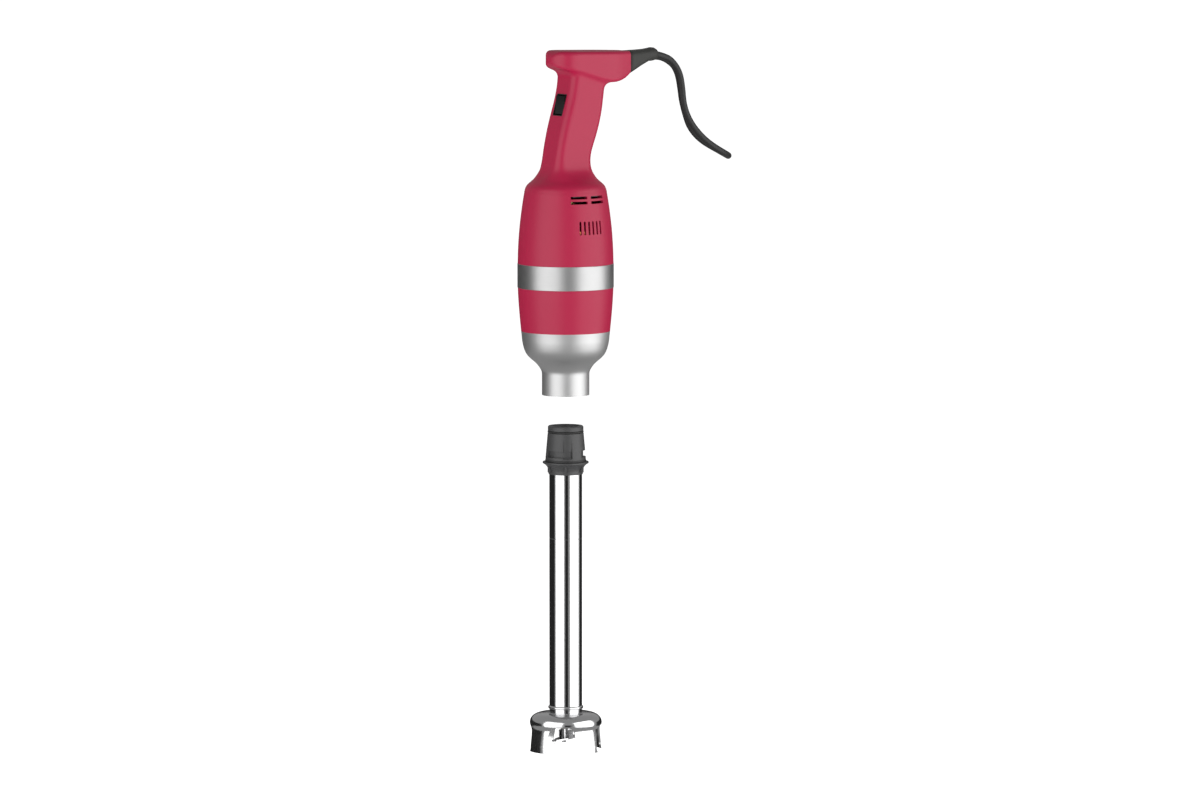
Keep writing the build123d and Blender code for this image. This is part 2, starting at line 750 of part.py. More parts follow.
with BuildPart() as top_bush:
    add(ring(bush_radius - 0.02, rod_radius + running_gap, -64.0, cavity_floor - 0.3))
top_bush.part.label = "top_bush"
export_step(top_bush.part, "parts/top_bush.step")

# ---- Shaft: tube and bell -----------------------------------------------------------
with BuildPart() as tube:
    with BuildSketch(Plane.XZ):
        with BuildLine():
            Polyline(
                (tube_radius - tube_wall, tube_top - 0.1), (tube_radius, tube_top - 0.1),
                (tube_radius, mark_height + 0.4), (tube_radius - 0.18, mark_height + 0.2),
                (tube_radius - 0.18, mark_height - 0.2), (tube_radius, mark_height - 0.4),
                (tube_radius, tube_end), (tube_radius - tube_wall, tube_end),
                (tube_radius - tube_wall, tube_top - 0.1),
            )
        make_face()
    revolve(axis=Axis.Z)
tube.part.label = "tube"
export_step(tube.part, "parts/tube.step")

# Rolled bead where the tube is welded to the bell's neck.
with BuildPart() as weld_collar:
    with BuildSketch(Plane.XZ):
        with BuildLine():
            Line((tube_radius, -314.6), (tube_radius, -317.6))
            Line((tube_radius, -317.6), (17.3, -317.6))
            ThreePointArc((17.3, -317.6), (17.7, -316.4), (tube_radius, -314.6))
        make_face()
    revolve(axis=Axis.Z)
weld_collar.part.label = "weld_collar"
export_step(weld_collar.part, "parts/weld_collar.step")

bell_outline = [
    (16.2, -321.4), (24.0, -321.9), (30.4, -323.4), (34.6, -326.6), (36.3, -331.6), (35.4, -337.0),
    (36.0, -344.0), (37.2, -352.0), (37.6, bell_foot),
]
with BuildPart() as bell_guard:
    with BuildSketch(Plane.XZ):
        with BuildLine():
            Polyline((6.6, -321.3), (15.2, -321.3), (15.2, tube_end), (16.2, tube_end), bell_outline[0])
            Spline(bell_outline, tangents=[(1, -0.02), (0, -1)])
            Line(bell_outline[-1], (37.6 - bell_wall, bell_foot))
            Spline(
                (37.6 - bell_wall, bell_foot), (35.6, -352.0), (34.4, -344.0), (33.8, -337.0),
                (34.4, -331.8), (33.0, -328.0), (29.6, -325.2), (23.8, -323.6), (16.0, -323.1),
                tangents=[(0, 1), (-1, 0.02)],
            )
            Polyline((16.0, -323.1), (10.0, -323.1), (10.0, -337.0), (6.6, -337.0), (6.6, -321.3))
        make_face()
    revolve(axis=Axis.Z)
    # Four windows between the legs, wider at the foot.
    for step in range(4):
        angle = radians(window_turn + 90.0 * step)
        window_plane = Plane(
            origin=(16 * cos(angle), 16 * sin(angle), 0), x_dir=(-sin(angle), cos(angle), 0),
            z_dir=(cos(angle), sin(angle), 0),
        )
        with BuildSketch(window_plane) as window:
            with BuildLine():
                Polyline(
                    (-10.6, -333.4), (10.6, -333.4), (15.0, -345.0), (18.0, bell_foot - 1.0),
                    (-18.0, bell_foot - 1.0), (-15.0, -345.0), (-10.6, -333.4),
                )
            make_face()
            fillet(window.vertices().group_by(Axis.Z)[-1], 5.5)
        extrude(amount=30.0, mode=Mode.SUBTRACT)
bell_guard.part.label = "bell_guard"
export_step(bell_guard.part, "parts/bell_guard.step")

with BuildPart() as bottom_bush:
    add(ring(6.5, rod_radius + running_gap, -336.8, -322.0))
bottom_bush.part.label = "bottom_bush"
export_step(bottom_bush.part, "parts/bottom_bush.step")

# ---- Shaft: drive line and blade -----------------------------------------------------
with BuildPart() as drive_rod:
    with BuildSketch(Plane.XY.offset(rod_bottom)):
        Circle(rod_radius)
    extrude(amount=rod_top - rod_bottom)
drive_rod.part.label = "drive_rod"
export_step(drive_rod.part, "parts/drive_rod.step")

with BuildPart() as drive_dog:
    with BuildSketch(Plane.XY.offset(cavity_floor + 0.4)):
        Circle(8.0)
        Circle(rod_radius, mode=Mode.SUBTRACT)
    extrude(amount=1.6)
    with BuildSketch(Plane.XY.offset(cavity_floor + 2.0)):
        lobed_outline(7.1, 5.1, 1.8)
    extrude(amount=7.6)
    with BuildSketch(Plane.XY.offset(cavity_floor + 2.0)):
        Circle(rod_radius)
    extrude(amount=3.3, mode=Mode.SUBTRACT)
    chamfer(drive_dog.edges().group_by(Axis.Z)[-1], 0.5)
drive_dog.part.label = "drive_dog"
export_step(drive_dog.part, "parts/drive_dog.step")

with BuildPart() as blade_hub:
    add(ring(4.8, rod_radius, blade_plane + 0.8, -337.6))
    chamfer(blade_hub.edges().group_by(Axis.Z)[-1].sort_by(SortBy.RADIUS)[-1:], 0.6)
blade_hub.part.label = "blade_hub"
export_step(blade_hub.part, "parts/blade_hub.step")

blade_angle = 25.0
blade_thickness = 1.5
with BuildPart() as blade:
    with BuildSketch(Plane.XY.offset(blade_plane - blade_thickness / 2)) as blade_outline:
        with BuildLine():
            Polyline(
                (-6.0, -6.4), (6.0, -6.4), (20.0, -3.2), (blade_reach, -1.2), (23.0, 2.6), (6.0, 6.4),
                (-6.0, 6.4), (-20.0, 3.2), (-blade_reach, 1.2), (-23.0, -2.6), (-6.0, -6.4),
            )
        make_face()
        Circle(rod_radius, mode=Mode.SUBTRACT)
    extrude(amount=blade_thickness)
    # One upturned tab on each long edge, beside the hub.
    for side in (-1, 1):
        with BuildSketch(Plane.XZ.offset(side * 6.4)):
            with Locations((-side * 0.5, blade_plane + 4.4)):
                Rectangle(8.0, 8.0)
        extrude(amount=-side * 1.3)
with BuildPart() as turned_blade:
    add(blade.part, rotation=(0, 0, blade_angle))
turned_blade.part.label = "blade"
export_step(turned_blade.part, "parts/blade.step")

with BuildPart() as blade_nut:
    with BuildSketch(Plane.XY.offset(blade_plane - 0.8 - 3.0)):
        RegularPolygon(4.6, 6)
        Circle(rod_radius, mode=Mode.SUBTRACT)
    extrude(amount=3.0)
blade_nut.part.label = "blade_nut"
export_step(blade_nut.part, "parts/blade_nut.step")

# ---- Mains lead ----------------------------------------------------------------------
# The lead leaves the gland, swings down and outward, turns back behind itself and behind
# the head, and hangs in a tied hank behind the barrel.
cord_points = [
    cord_exit, (122.6, 0.0, 335.2), (132.3, 0.0, 328.1), (139.0, 0.0, 317.7), (141.8, 0.0, 304.0),
    (143.4, 0.0, 286.5), (149.5, 0.0, 271.5), (160.5, 0.0, 257.5), (176.0, 0.0, 244.5),
    (200.6, 0.5, 231.5), (225.3, 38.9, 229.1), (208.9, 77.9, 247.7), (197.2, 78.2, 279.9),
    (194.6, 78.2, 298.2), (191.6, 78.3, 312.0), (184.5, 78.2, 322.6), (166.0, 77.0, 331.5),
    (130.9, 74.4, 328.0), (93.0, 69.6, 313.6), (67.1, 65.8, 288.0), (51.4, 61.4, 254.7),
    (42.4, 56.8, 226.0), (43.0, 50.0, 202.5),
]


def corner_radii(points):
    """The largest arc for each corner: 0.45 of the shorter run over the half turn's tangent."""
    vectors = [Vector(*point) for point in points]
    radii = []
    for before, here, after in zip(vectors, vectors[1:], vectors[2:]):
        turn = radians((here - before).get_angle(after - here))
        radii.append(0.45 * min((here - before).length, (after - here).length) / tan(turn / 2))
    return radii


cord_radii = corner_radii(cord_points)
print("cord arc radii:", [round(radius, 1) for radius in cord_radii])

with BuildPart() as cord_lead:
    with BuildLine():
        cord_path = FilletPolyline(*cord_points, radius=cord_radii)
    with BuildSketch(Plane(origin=cord_path @ 0, z_dir=cord_path % 0)):
        Circle(cord_diameter / 2)
    sweep()
cord_lead.part.label = "cord_lead"
export_step(cord_lead.part, "parts/cord_lead.step")
print("lead length:", round(cord_path.length, 1))
print("lead volume ratio:", cord_lead.part.volume / (cord_path.length * pi * cord_diameter**2 / 4))

# Hank: a plane through its middle, x across the hank, y up.
back = (cos(radians(back_angle)), sin(radians(back_angle)))
hank_half_width = hank_fold + cord_diameter / 2
hank_height = hank_run + 2 * hank_half_width
hank_middle = hank_top - hank_height / 2
hank_plane = Plane(
    origin=(hank_centre_depth * back[0], hank_centre_depth * back[1], hank_middle),
    x_dir=(back[1], -back[0], 0), z_dir=(-back[0], -back[1], 0),
)
with BuildPart() as cord_hank:
    with BuildSketch(hank_plane):
        SlotOverall(hank_height, 2 * hank_half_width, rotation=90)
        SlotOverall(hank_height - 2 * cord_diameter, 2 * (hank_half_width - cord_diameter), rotation=90,
                    mode=Mode.SUBTRACT)
    extrude(amount=hank_turns * cord_diameter / 2, both=True)
cord_hank.part.label = "cord_hank"
export_step(cord_hank.part, "parts/cord_hank.step")

tie_thickness = 1.2
tie_half_depth = hank_turns * cord_diameter / 2
tie_plane = Plane(origin=hank_plane.origin, x_dir=hank_plane.x_dir, z_dir=(0, 0, 1))
with BuildPart() as cord_tie:
    with BuildSketch(tie_plane):
        RectangleRounded(2 * (hank_half_width + tie_thickness), 2 * (tie_half_depth + tie_thickness), 1.0)
        Rectangle(2 * hank_half_width, 2 * tie_half_depth, mode=Mode.SUBTRACT)
    extrude(amount=8.0, both=True)
cord_tie.part.label = "cord_tie"
export_step(cord_tie.part, "parts/cord_tie.step")

# Plug, lying against the back of the hank, pins up.
plug_across = -18.0
plug_depth = hank_centre_depth + tie_half_depth + 8.4
plug_base = hank_middle - 12.0
plug_plane = Plane(
    origin=(
        plug_across * back[1] + plug_depth * back[0], -plug_across * back[0] + plug_depth * back[1], plug_base
    ),
    x_dir=(back[1], -back[0], 0), z_dir=(0, 0, 1),
)
with BuildPart() as plug_body:
    for height, width, depth, corner in (
        (0.0, 9.0, 8.6, 4.0), (14.0, 15.0, 11.0, 4.6), (30.0, 30.0, 13.4, 5.4), (38.0, 34.0, 13.8, 5.6),
        (46.0, 33.0, 13.8, 5.6),
    ):
        with BuildSketch(plug_plane.offset(height)):
            RectangleRounded(width, depth, corner)
    loft()
plug_body.part.label = "plug_body"
export_step(plug_body.part, "parts/plug_body.step")

with BuildPart() as plug_pins:
    with BuildSketch(plug_plane.offset(46.0)):
        with Locations((-9.5, 0), (9.5, 0)):
            Circle(2.0)
    extrude(amount=19.0)
    fillet(plug_pins.edges().group_by(Axis.Z)[-1], 1.2)
plug_pins.part.label = "plug_pins"
export_step(plug_pins.part, "parts/plug_pins.step")

# Short tail from the hank's back to the plug: across, depth behind the axis, height.
tail_points = [
    (across * back[1] + depth * back[0], -across * back[0] + depth * back[1], height)
    for across, depth, height in (
        (-22.0, hank_centre_depth + tie_half_depth - 1.5, 74.0),
        (-21.4, hank_centre_depth + tie_half_depth + 1.8, 86.0),
        (-18.8, hank_centre_depth + tie_half_depth + 7.2, 100.0), (plug_across, plug_depth, plug_base),
    )
]
tail_radii = corner_radii(tail_points)
print("tail arc radii:", [round(radius, 1) for radius in tail_radii])
with BuildPart() as cord_tail:
    with BuildLine():
        tail_path = FilletPolyline(*tail_points, radius=tail_radii)
    with BuildSketch(Plane(origin=tail_path @ 0, z_dir=tail_path % 0)):
        Circle(cord_diameter / 2)
    sweep()
cord_tail.part.label = "cord_tail"
export_step(cord_tail.part, "parts/cord_tail.step")
print("tail length:", round(tail_path.length, 1))
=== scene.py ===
from math import copysign, cos, pi, radians, sin

import bmesh
import bpy
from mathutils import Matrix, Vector


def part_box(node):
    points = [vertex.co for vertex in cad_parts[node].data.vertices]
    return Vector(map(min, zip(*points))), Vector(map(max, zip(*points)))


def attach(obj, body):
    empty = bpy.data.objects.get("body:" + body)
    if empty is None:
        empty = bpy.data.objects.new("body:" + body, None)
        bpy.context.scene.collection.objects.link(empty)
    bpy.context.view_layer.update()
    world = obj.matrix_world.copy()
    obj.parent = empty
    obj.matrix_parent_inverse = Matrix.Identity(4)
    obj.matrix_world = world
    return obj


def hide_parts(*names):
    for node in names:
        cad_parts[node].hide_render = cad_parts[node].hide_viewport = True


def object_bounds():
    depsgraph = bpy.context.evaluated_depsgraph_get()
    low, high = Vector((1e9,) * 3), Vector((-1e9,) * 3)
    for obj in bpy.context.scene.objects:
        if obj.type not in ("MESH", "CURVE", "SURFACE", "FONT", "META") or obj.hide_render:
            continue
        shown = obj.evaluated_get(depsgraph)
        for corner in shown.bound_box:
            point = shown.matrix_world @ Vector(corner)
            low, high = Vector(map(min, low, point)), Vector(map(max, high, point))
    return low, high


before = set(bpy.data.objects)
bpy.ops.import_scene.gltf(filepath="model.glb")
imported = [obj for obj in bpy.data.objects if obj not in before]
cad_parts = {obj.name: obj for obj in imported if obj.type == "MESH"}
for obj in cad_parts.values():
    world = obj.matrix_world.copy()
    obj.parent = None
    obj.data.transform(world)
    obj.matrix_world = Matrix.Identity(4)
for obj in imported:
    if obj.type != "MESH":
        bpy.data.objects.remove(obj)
cad_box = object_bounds()

# ---- Studio: camera, floor and soft boxes --------------------------------------
# A long lens looks at the -Y flank, from a little towards the switch and a little above.
# The floor is plain and pale and lies below the bell's legs. Two large soft boxes light
# the machine, and black cards are there for the steel to reflect.
VIEW_TURN = radians(-34.3)
VIEW_RISE = radians(6.0)
VIEW_DISTANCE = 8.5
FRAME_WIDTH = 1.205                  # metres across the view at the working axis
AIM_ACROSS = 0.0345
AIM_HEIGHT = -0.0055
SENSOR_WIDTH = 36.0

to_camera = Vector((sin(VIEW_TURN) * cos(VIEW_RISE), -cos(VIEW_TURN) * cos(VIEW_RISE), sin(VIEW_RISE)))
across = Vector((cos(VIEW_TURN), sin(VIEW_TURN), 0.0))
aim = across * AIM_ACROSS + Vector((0.0, 0.0, AIM_HEIGHT))

lens_data = bpy.data.cameras.new("studio_camera")
lens_data.sensor_width = SENSOR_WIDTH
lens_data.lens = SENSOR_WIDTH * VIEW_DISTANCE / FRAME_WIDTH
lens_data.clip_end = 60.0
camera = bpy.data.objects.new("studio_camera", lens_data)
camera.location = aim + to_camera * VIEW_DISTANCE
camera.rotation_euler = to_camera.to_track_quat("Z", "Y").to_euler()
bpy.context.scene.collection.objects.link(camera)
bpy.context.scene.camera = camera


def principled(name, colour, roughness, metallic=0.0):
    """A new material and its shader, with the values that are the same all over."""
    material = bpy.data.materials.new(name)
    material.use_nodes = True
    shader = material.node_tree.nodes["Principled BSDF"]
    shader.inputs["Base Color"].default_value = (*colour, 1.0)
    shader.inputs["Roughness"].default_value = roughness
    shader.inputs["Metallic"].default_value = metallic
    return material, shader


def place(name, mesh, material):
    """A finished mesh becomes a piece at the origin, with one material."""
    piece = bpy.data.objects.new(name, mesh)
    bpy.context.scene.collection.objects.link(piece)
    mesh.materials.append(material)
    return piece


FLOOR_DROP = 0.05
FLOOR_HALF_WIDTH = 20.0
floor_finish, floor_shader = principled("studio_floor", (0.93, 0.93, 0.93), 0.9)
floor_shader.inputs["Specular IOR Level"].default_value = 0.1
floor_shader.inputs["Emission Color"].default_value = (1.0, 1.0, 1.0, 1.0)
floor_shader.inputs["Emission Strength"].default_value = 0.74
sweep = bmesh.new()
bmesh.ops.create_grid(sweep, x_segments=1, y_segments=1, size=FLOOR_HALF_WIDTH)
bmesh.ops.translate(sweep, vec=(0, 0, cad_box[0].z - FLOOR_DROP), verts=sweep.verts)
floor_mesh = bpy.data.meshes.new("studio_floor")
sweep.to_mesh(floor_mesh)
sweep.free()
floor = place("studio_floor", floor_mesh, floor_finish)
floor.visible_glossy = False


BOX_RISE = radians(6)
BOX_DISTANCE = 1.9
BOX_HEIGHT = 2.6


def soft_box(name, turn, width, power):
    """A rectangular area light, placed round the object and aimed at its middle."""
    light = bpy.data.lights.new(name, "AREA")
    light.shape = "RECTANGLE"
    light.size = width
    light.size_y = BOX_HEIGHT
    light.energy = power
    lamp = bpy.data.objects.new(name, light)
    toward = Vector((sin(turn) * cos(BOX_RISE), -cos(turn) * cos(BOX_RISE), sin(BOX_RISE)))
    lamp.location = toward * BOX_DISTANCE
    lamp.rotation_euler = toward.to_track_quat("Z", "Y").to_euler()
    bpy.context.scene.collection.objects.link(lamp)


soft_box("box_left", VIEW_TURN - radians(43), width=2.4, power=37.0)
soft_box("box_right", VIEW_TURN + radians(66), width=2.8, power=49.0)

# Black cards stand behind the object and on the camera's side of it. Only reflections see
# them, so the polished pieces have dark edges and a thin dark line between the two boxes.
CARD_RADIUS = 4.0
CARD_FOOT = -1.5
CARD_HEAD = 0.35
CARD_STEPS = 24
card_finish, card_shader = principled("dark_card", (0.035, 0.035, 0.035), 1.0)
card_shader.inputs["Specular IOR Level"].default_value = 0.0
for name, first, last in (("card_behind", 116.0, 276.0), ("card_in_front", -3.0, 17.0)):
    card = bmesh.new()
    start = VIEW_TURN + radians(first) - pi / 2
    foot = card.verts.new((CARD_RADIUS * cos(start), CARD_RADIUS * sin(start), CARD_FOOT))
    head = card.verts.new((CARD_RADIUS * cos(start), CARD_RADIUS * sin(start), CARD_HEAD))
    edge = card.edges.new((foot, head))
    bmesh.ops.spin(card, geom=[edge, foot, head], cent=(0, 0, 0), axis=(0, 0, 1),
                   angle=radians(last - first), steps=CARD_STEPS)
    card_mesh = bpy.data.meshes.new(name)
    card.to_mesh(card_mesh)
    card.free()
    screen = place(name, card_mesh, card_finish)
    screen.visible_camera = False
    screen.visible_diffuse = False
    screen.visible_shadow = False

world = bpy.data.worlds.new("studio_air")
world.use_nodes = True
world.node_tree.nodes["Background"].inputs["Color"].default_value = (1.0, 1.0, 1.0, 1.0)
world.node_tree.nodes["Background"].inputs["Strength"].default_value = 0.36
bpy.context.scene.world = world
bpy.context.scene.view_settings.view_transform = "Standard"


# ---- Mains cord: lead, hank, tail, tie and plug ---------------------------------
# A black rubber lead leaves the gland, bends down and goes round behind the handle, where
# the rest is folded into a hank in line with the machine, held by a strap. It ends in a
# moulded plug. The hank's axes are the two directions that the part's hank has.
CORD_DIAMETER = 0.007
HANK_TURN = radians(55.7)
HANK_FOLD = 0.022                    # centreline radius of a fold
HANK_HALF_RUN = 0.052
HANK_DEPTH = 0.0645                  # first turn's distance behind the axis
HANK_TURNS = 4
HANK_ENTRY = ((0.0080, 0.0750), (0.0175, 0.0660))                # aside, and above the middle
RUN_DOWN = (0.6, -0.2, -0.8)                                     # heights, in half runs
RUN_UP = ((-0.7, 0.0), (-0.2, 0.2), (0.4, 0.8), (0.8, 1.0))      # heights, and share of a layer back
HANK_EXIT = ((-0.0214, 0.0890, -0.0400), (-0.0190, 0.0958, -0.0270), (-0.0180, 0.0974, -0.0120))
FOLD_STEPS = 6
FOLD_STEP = pi / FOLD_STEPS
FOLD_REACH = HANK_FOLD / cos(FOLD_STEP / 2)

back = Vector((cos(HANK_TURN), sin(HANK_TURN), 0.0))
aside = Vector((sin(HANK_TURN), -cos(HANK_TURN), 0.0))
hank_low, hank_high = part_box("cord_hank")
hank_middle = (hank_low.z + hank_high.z) / 2

cord_route = [
    (0.1100, 0.0000, 0.3380), (0.1226, 0.0000, 0.3352), (0.1323, 0.0000, 0.3281), (0.1390, 0.0000, 0.3177),
    (0.1418, 0.0000, 0.3040), (0.1434, 0.0000, 0.2865), (0.1495, 0.0000, 0.2715), (0.1605, 0.0000, 0.2575),
    (0.1760, 0.0000, 0.2445), (0.2006, 0.0005, 0.2315), (0.2253, 0.0389, 0.2291), (0.2089, 0.0779, 0.2477),
    (0.1972, 0.0782, 0.2799), (0.1946, 0.0782, 0.2982), (0.1916, 0.0783, 0.3120), (0.1845, 0.0782, 0.3226),
    (0.1660, 0.0770, 0.3315), (0.1309, 0.0744, 0.3280), (0.0930, 0.0696, 0.3136), (0.0671, 0.0658, 0.2880),
    (0.0514, 0.0614, 0.2547), (0.0424, 0.0568, 0.2260),
]


def in_hank(sideways, depth, height):
    """A point of the hank, from its distance aside, behind the axis and above the middle."""
    return aside * sideways + back * depth + Vector((0.0, 0.0, hank_middle + height))


def fold(first_angle, depth, run_end):
    """The points of a half turn, clockwise from first_angle, round the end of a run."""
    points = []
    for step in range(FOLD_STEPS):
        angle = first_angle - FOLD_STEP * (step + 0.5)
        points.append(in_hank(FOLD_REACH * cos(angle), depth, run_end + FOLD_REACH * sin(angle)))
    return points


cord_points = [Vector(point) for point in cord_route]
cord_points += [in_hank(sideways, HANK_DEPTH, height) for sideways, height in HANK_ENTRY]
for turn in range(HANK_TURNS):
    depth = HANK_DEPTH + turn * CORD_DIAMETER
    if turn > 0:
        cord_points += fold(pi, depth, HANK_HALF_RUN)
    for height in RUN_DOWN:
        cord_points.append(in_hank(HANK_FOLD, depth, HANK_HALF_RUN * height))
    cord_points += fold(0.0, depth, -HANK_HALF_RUN)
    if turn < HANK_TURNS - 1:
        for height, layer_share in RUN_UP:
            next_depth = depth + layer_share * CORD_DIAMETER
            cord_points.append(in_hank(-HANK_FOLD, next_depth, HANK_HALF_RUN * height))
cord_points += [in_hank(*point) for point in HANK_EXIT]


def grained(material, shader, scale, depth, low, high):
    """Fine grain: one noise in object space lifts the surface and varies its roughness."""
    nodes, links = material.node_tree.nodes, material.node_tree.links
    where = nodes.new("ShaderNodeTexCoord")
    noise = nodes.new("ShaderNodeTexNoise")
    noise.inputs["Scale"].default_value = scale
    noise.inputs["Detail"].default_value = 3.0
    links.new(where.outputs["Object"], noise.inputs["Vector"])
    spread = nodes.new("ShaderNodeMapRange")
    spread.inputs["To Min"].default_value = low
    spread.inputs["To Max"].default_value = high
    links.new(noise.outputs["Fac"], spread.inputs["Value"])
    links.new(spread.outputs["Result"], shader.inputs["Roughness"])
    bump = nodes.new("ShaderNodeBump")
    bump.inputs["Distance"].default_value = depth
    bump.inputs["Strength"].default_value = 0.6
    links.new(noise.outputs["Fac"], bump.inputs["Height"])
    links.new(bump.outputs["Normal"], shader.inputs["Normal"])


def dress(material, *names):
    """CAD nodes that are shown as they are take one material in every slot."""
    for name in names:
        for face_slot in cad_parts[name].material_slots:
            face_slot.material = material


cord_rubber, cord_shader = principled("cord_rubber", (0.012, 0.012, 0.012), 0.5)
grained(cord_rubber, cord_shader, 900.0, 0.00005, 0.42, 0.58)
cord_shader.inputs["Specular IOR Level"].default_value = 0.35

cord_line = bpy.data.curves.new("mains_cord", "CURVE")
cord_line.dimensions = "3D"
cord_line.resolution_u = 10
cord_line.bevel_depth = CORD_DIAMETER / 2
cord_line.bevel_resolution = 5
cord_line.use_fill_caps = True
spline = cord_line.splines.new("NURBS")
spline.points.add(len(cord_points) - 1)
for knot, point in zip(spline.points, cord_points):
    knot.co = (*point, 1.0)
spline.order_u = 3
spline.use_endpoint_u = True
cord = place("mains_cord", cord_line, cord_rubber)
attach(cord, "motor_unit")
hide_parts("cord_lead", "cord_hank", "cord_tail")
dress(cord_rubber, "cord_tie", "plug_body")
pin_brass, pin_shader = principled("pin_brass", (0.76, 0.62, 0.34), 0.25, 1.0)
grained(pin_brass, pin_shader, 1500.0, 0.00001, 0.18, 0.32)
dress(pin_brass, "plug_pins")

# ---- Housing: two moulded halves -----------------------------------------------
# Crimson satin plastic with a fine moulded grain, screwed together along the middle of
# the barrel, handle and head.
housing_plastic, housing_shader = principled("housing_plastic", (0.305, 0.003, 0.036), 0.40)
grained(housing_plastic, housing_shader, 1600.0, 0.00003, 0.38, 0.48)
housing_shader.inputs["Specular IOR Level"].default_value = 0.36
dress(housing_plastic, "housing_right", "housing_left")

# ---- Trim band -----------------------------------------------------------------
# A brushed stainless ring round the barrel, snapped over a seat in the housing. The
# brushing runs round it: a noise in angle and height, long in angle and short in height.
band_steel, band_shader = principled("band_steel", (0.43, 0.43, 0.43), 0.4, 1.0)


def brushed(material, shader, along_angle, along_height, depth, low, high):
    """Brush marks that run round the Z axis, as lifted streaks of changing roughness."""
    nodes, links = material.node_tree.nodes, material.node_tree.links
    where = nodes.new("ShaderNodeTexCoord")
    parts = nodes.new("ShaderNodeSeparateXYZ")
    links.new(where.outputs["Object"], parts.inputs["Vector"])
    angle = nodes.new("ShaderNodeMath")
    angle.operation = "ARCTAN2"
    links.new(parts.outputs["Y"], angle.inputs[0])
    links.new(parts.outputs["X"], angle.inputs[1])
    joined = nodes.new("ShaderNodeCombineXYZ")
    links.new(angle.outputs["Value"], joined.inputs["X"])
    links.new(parts.outputs["Z"], joined.inputs["Z"])
    stretch = nodes.new("ShaderNodeVectorMath")
    stretch.operation = "MULTIPLY"
    stretch.inputs[1].default_value = (along_angle, 0.0, along_height)
    links.new(joined.outputs["Vector"], stretch.inputs[0])
    noise = nodes.new("ShaderNodeTexNoise")
    noise.inputs["Scale"].default_value = 1.0
    noise.inputs["Detail"].default_value = 4.0
    links.new(stretch.outputs["Vector"], noise.inputs["Vector"])
    spread = nodes.new("ShaderNodeMapRange")
    spread.inputs["From Min"].default_value = 0.3
    spread.inputs["From Max"].default_value = 0.7
    spread.inputs["To Min"].default_value = low
    spread.inputs["To Max"].default_value = high
    links.new(noise.outputs["Fac"], spread.inputs["Value"])
    links.new(spread.outputs["Result"], shader.inputs["Roughness"])
    bump = nodes.new("ShaderNodeBump")
    bump.inputs["Distance"].default_value = depth
    bump.inputs["Strength"].default_value = 0.5
    links.new(noise.outputs["Fac"], bump.inputs["Height"])
    links.new(bump.outputs["Normal"], shader.inputs["Normal"])


brushed(band_steel, band_shader, 3.0, 4000.0, 0.00002, 0.34, 0.50)
dress(band_steel, "trim_band")

# ---- Nose casting and its plate --------------------------------------------------
# Satin cast aluminium, turned outside, which closes the barrel and carries the socket
# for the shaft. The bearing plate and its screws are inside it.
nose_alloy, nose_shader = principled("nose_alloy", (0.56, 0.56, 0.56), 0.5, 1.0)
grained(nose_alloy, nose_shader, 1400.0, 0.00003, 0.44, 0.56)
dress(nose_alloy, "nose_casting", "nose_plate")
machine_steel, machine_shader = principled("machine_steel", (0.52, 0.52, 0.53), 0.3, 1.0)
brushed(machine_steel, machine_shader, 2.0, 5000.0, 0.00001, 0.22, 0.38)
dress(machine_steel, "nose_screws", "lower_bearing", "upper_bearing", "motor_shaft", "drive_socket",
      "clamp_screws", "housing_screws", "brush_springs", "drive_dog", "drive_rod")
seal_rubber, seal_shader = principled("seal_rubber", (0.014, 0.014, 0.014), 0.55)
grained(seal_rubber, seal_shader, 1100.0, 0.00003, 0.48, 0.62)
dress(seal_rubber, "output_seal")

# ---- Motor -----------------------------------------------------------------------
# Varnished laminations, enamelled copper, a brass commutator with carbon brushes, and
# moulded carriers. Only the vents and the bore let them be seen.
lamination, lamination_shader = principled("lamination_steel", (0.16, 0.16, 0.17), 0.5, 0.8)
brushed(lamination, lamination_shader, 0.5, 9000.0, 0.00008, 0.42, 0.6)
dress(lamination, "stator_core", "armature_core")
copper, copper_shader = principled("enamelled_copper", (0.66, 0.26, 0.10), 0.3, 1.0)
grained(copper, copper_shader, 1800.0, 0.0001, 0.24, 0.42)
dress(copper, "field_coils", "armature_coils")
brass, brass_shader = principled("brass", (0.75, 0.57, 0.27), 0.3, 1.0)
grained(brass, brass_shader, 1600.0, 0.00001, 0.24, 0.36)
dress(brass, "commutator", "brush_holders", "top_bush", "bottom_bush")
carbon, carbon_shader = principled("carbon", (0.02, 0.02, 0.02), 0.7)
grained(carbon, carbon_shader, 2200.0, 0.00003, 0.6, 0.8)
dress(carbon, "carbon_brushes")
inner_plastic, inner_shader = principled("inner_plastic", (0.70, 0.68, 0.60), 0.5)
grained(inner_plastic, inner_shader, 1300.0, 0.00002, 0.44, 0.56)
dress(inner_plastic, "capacitor", "cord_clamp")
# The bearing bridge and fan are near black: painted shade for the dark inside seen through the vents.
painted_shade_carrier, carrier_shader = principled("painted_shade_carrier", (0.022, 0.022, 0.024), 0.5)
grained(painted_shade_carrier, carrier_shader, 1300.0, 0.00002, 0.44, 0.56)
dress(painted_shade_carrier, "bearing_bridge", "cooling_fan")

# ---- Switch ------------------------------------------------------------------------
# A black moulded frame let into the handle's front, with a rocker that tilts on its
# middle. The rocker is a little smoother than the frame.
switch_plastic, switch_shader = principled("switch_plastic", (0.006, 0.006, 0.006), 0.38)
grained(switch_plastic, switch_shader, 1500.0, 0.00003, 0.34, 0.46)
dress(switch_plastic, "switch_frame", "switch_body")
rocker_plastic, rocker_shader = principled("rocker_plastic", (0.006, 0.006, 0.006), 0.3)
grained(rocker_plastic, rocker_shader, 1500.0, 0.00001, 0.26, 0.36)
rocker_shader.inputs["Specular IOR Level"].default_value = 0.25
dress(rocker_plastic, "switch_rocker")

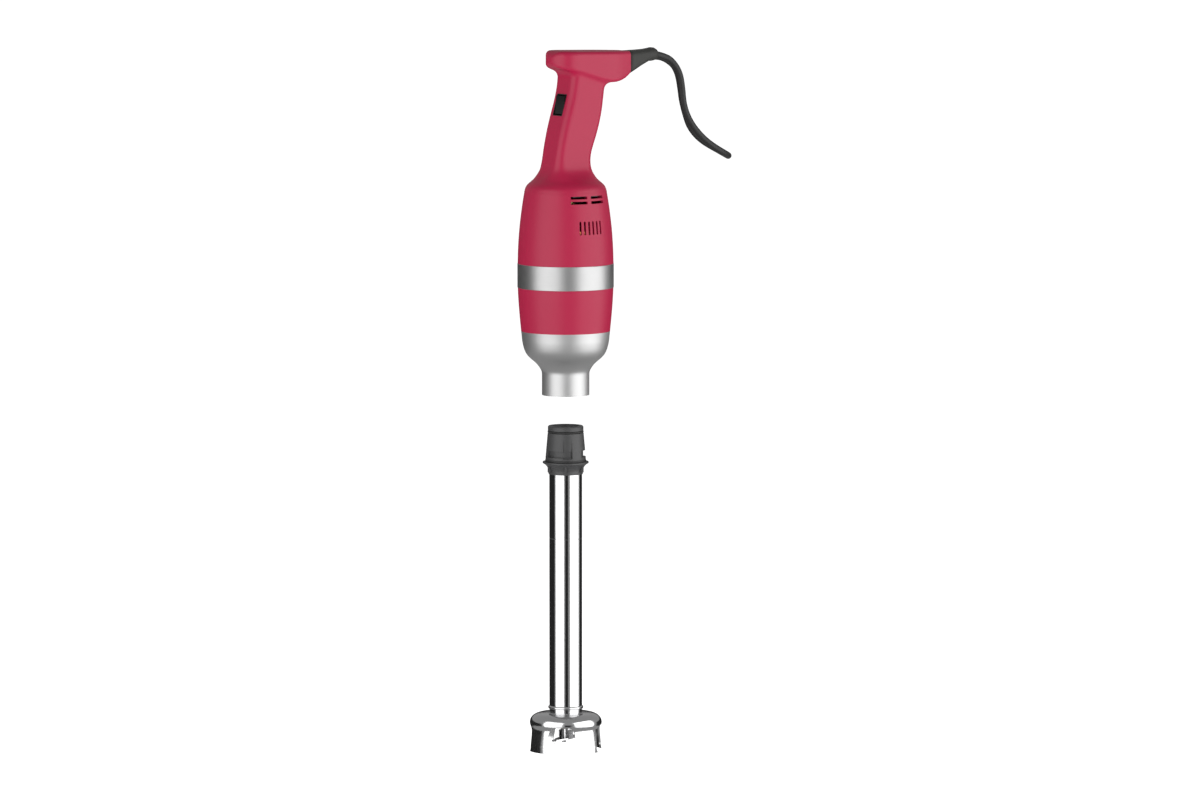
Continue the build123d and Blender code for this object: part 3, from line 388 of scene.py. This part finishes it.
# ---- Cable gland --------------------------------------------------------------------
# A tapered sleeve of dark rubber, gripped in the head's rear end, that the lead leaves.
# Inside, the lead's inner end runs to the clamp.
gland_rubber, gland_shader = principled("gland_rubber", (0.024, 0.024, 0.022), 0.55)
grained(gland_rubber, gland_shader, 800.0, 0.00005, 0.48, 0.62)
gland_shader.inputs["Specular IOR Level"].default_value = 0.3

# Sections along the gland: x, bottom, top, half width, and how square it is.
GLAND_SECTIONS = [
    (0.0700, 0.3196, 0.3433, 0.0134, 4.5), (0.0760, 0.3222, 0.3434, 0.0126, 4.0),
    (0.0860, 0.3268, 0.3437, 0.0108, 3.4), (0.0950, 0.3304, 0.3442, 0.0090, 2.8),
    (0.0990, 0.3318, 0.3449, 0.0080, 2.4), (0.1030, 0.3317, 0.3456, 0.0077, 2.2),
    (0.1065, 0.3322, 0.3452, 0.0072, 2.0), (0.1090, 0.3332, 0.3438, 0.0059, 2.0),
    (0.1100, 0.3342, 0.3418, 0.0040, 2.0),
]
GLAND_SIDES = 40
sleeve = bmesh.new()
rings = []
for x, bottom, top, half_width, squareness in GLAND_SECTIONS:
    ring = []
    for side in range(GLAND_SIDES):
        angle = 2 * pi * side / GLAND_SIDES
        along_y = copysign(abs(cos(angle)) ** (2 / squareness), cos(angle))
        along_z = copysign(abs(sin(angle)) ** (2 / squareness), sin(angle))
        height = (top + bottom) / 2 + (top - bottom) / 2 * along_z
        ring.append(sleeve.verts.new((x, half_width * along_y, height)))
    rings.append([sleeve.edges.new((ring[i - 1], ring[i])) for i in range(GLAND_SIDES)])
for near, far in zip(rings, rings[1:]):
    bmesh.ops.bridge_loops(sleeve, edges=near + far)
bmesh.ops.contextual_create(sleeve, geom=rings[0])
bmesh.ops.contextual_create(sleeve, geom=rings[-1])
bmesh.ops.recalc_face_normals(sleeve, faces=sleeve.faces)
for face in sleeve.faces:
    face.smooth = len(face.verts) == 4
gland_mesh = bpy.data.meshes.new("cable_sleeve")
sleeve.to_mesh(gland_mesh)
sleeve.free()
gland = place("cable_sleeve", gland_mesh, gland_rubber)
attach(gland, "motor_unit")
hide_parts("cable_gland")
dress(cord_rubber, "inner_lead")

# ---- Coupling -------------------------------------------------------------------------
# The shaft's plug is a dark grey glass-filled moulding with a bayonet channel, a rubber
# gasket round its shoulder and a ribbed collar that takes the tube.
coupling_plastic, coupling_shader = principled("coupling_plastic", (0.036, 0.036, 0.037), 0.42)
grained(coupling_plastic, coupling_shader, 1200.0, 0.00004, 0.40, 0.54)
dress(coupling_plastic, "coupling_plug")
dress(seal_rubber, "o_ring", "seal_ring")

# ---- Shaft tube and bell -----------------------------------------------------------------
# A polished stainless tube with an engraved level line, welded to a cast bell with four
# legs. The polish leaves the faintest marks round the tube.
shaft_steel, shaft_shader = principled("shaft_steel", (0.60, 0.60, 0.605), 0.08, 1.0)
brushed(shaft_steel, shaft_shader, 1.5, 2600.0, 0.000004, 0.06, 0.12)
dress(shaft_steel, "tube")
bell_steel, bell_shader = principled("bell_steel", (0.58, 0.58, 0.585), 0.12, 1.0)
grained(bell_steel, bell_shader, 500.0, 0.00003, 0.10, 0.20)
dress(bell_steel, "bell_guard", "weld_collar")

# ---- Blade ---------------------------------------------------------------------------------
# A ground stainless blade with turned tips, on a turned hub with a small nut. From the
# side it shows only between the bell's legs.
blade_steel, blade_shader = principled("blade_steel", (0.68, 0.68, 0.69), 0.22, 1.0)
grained(blade_steel, blade_shader, 1000.0, 0.00002, 0.18, 0.30)
dress(blade_steel, "blade_hub", "blade", "blade_nut")
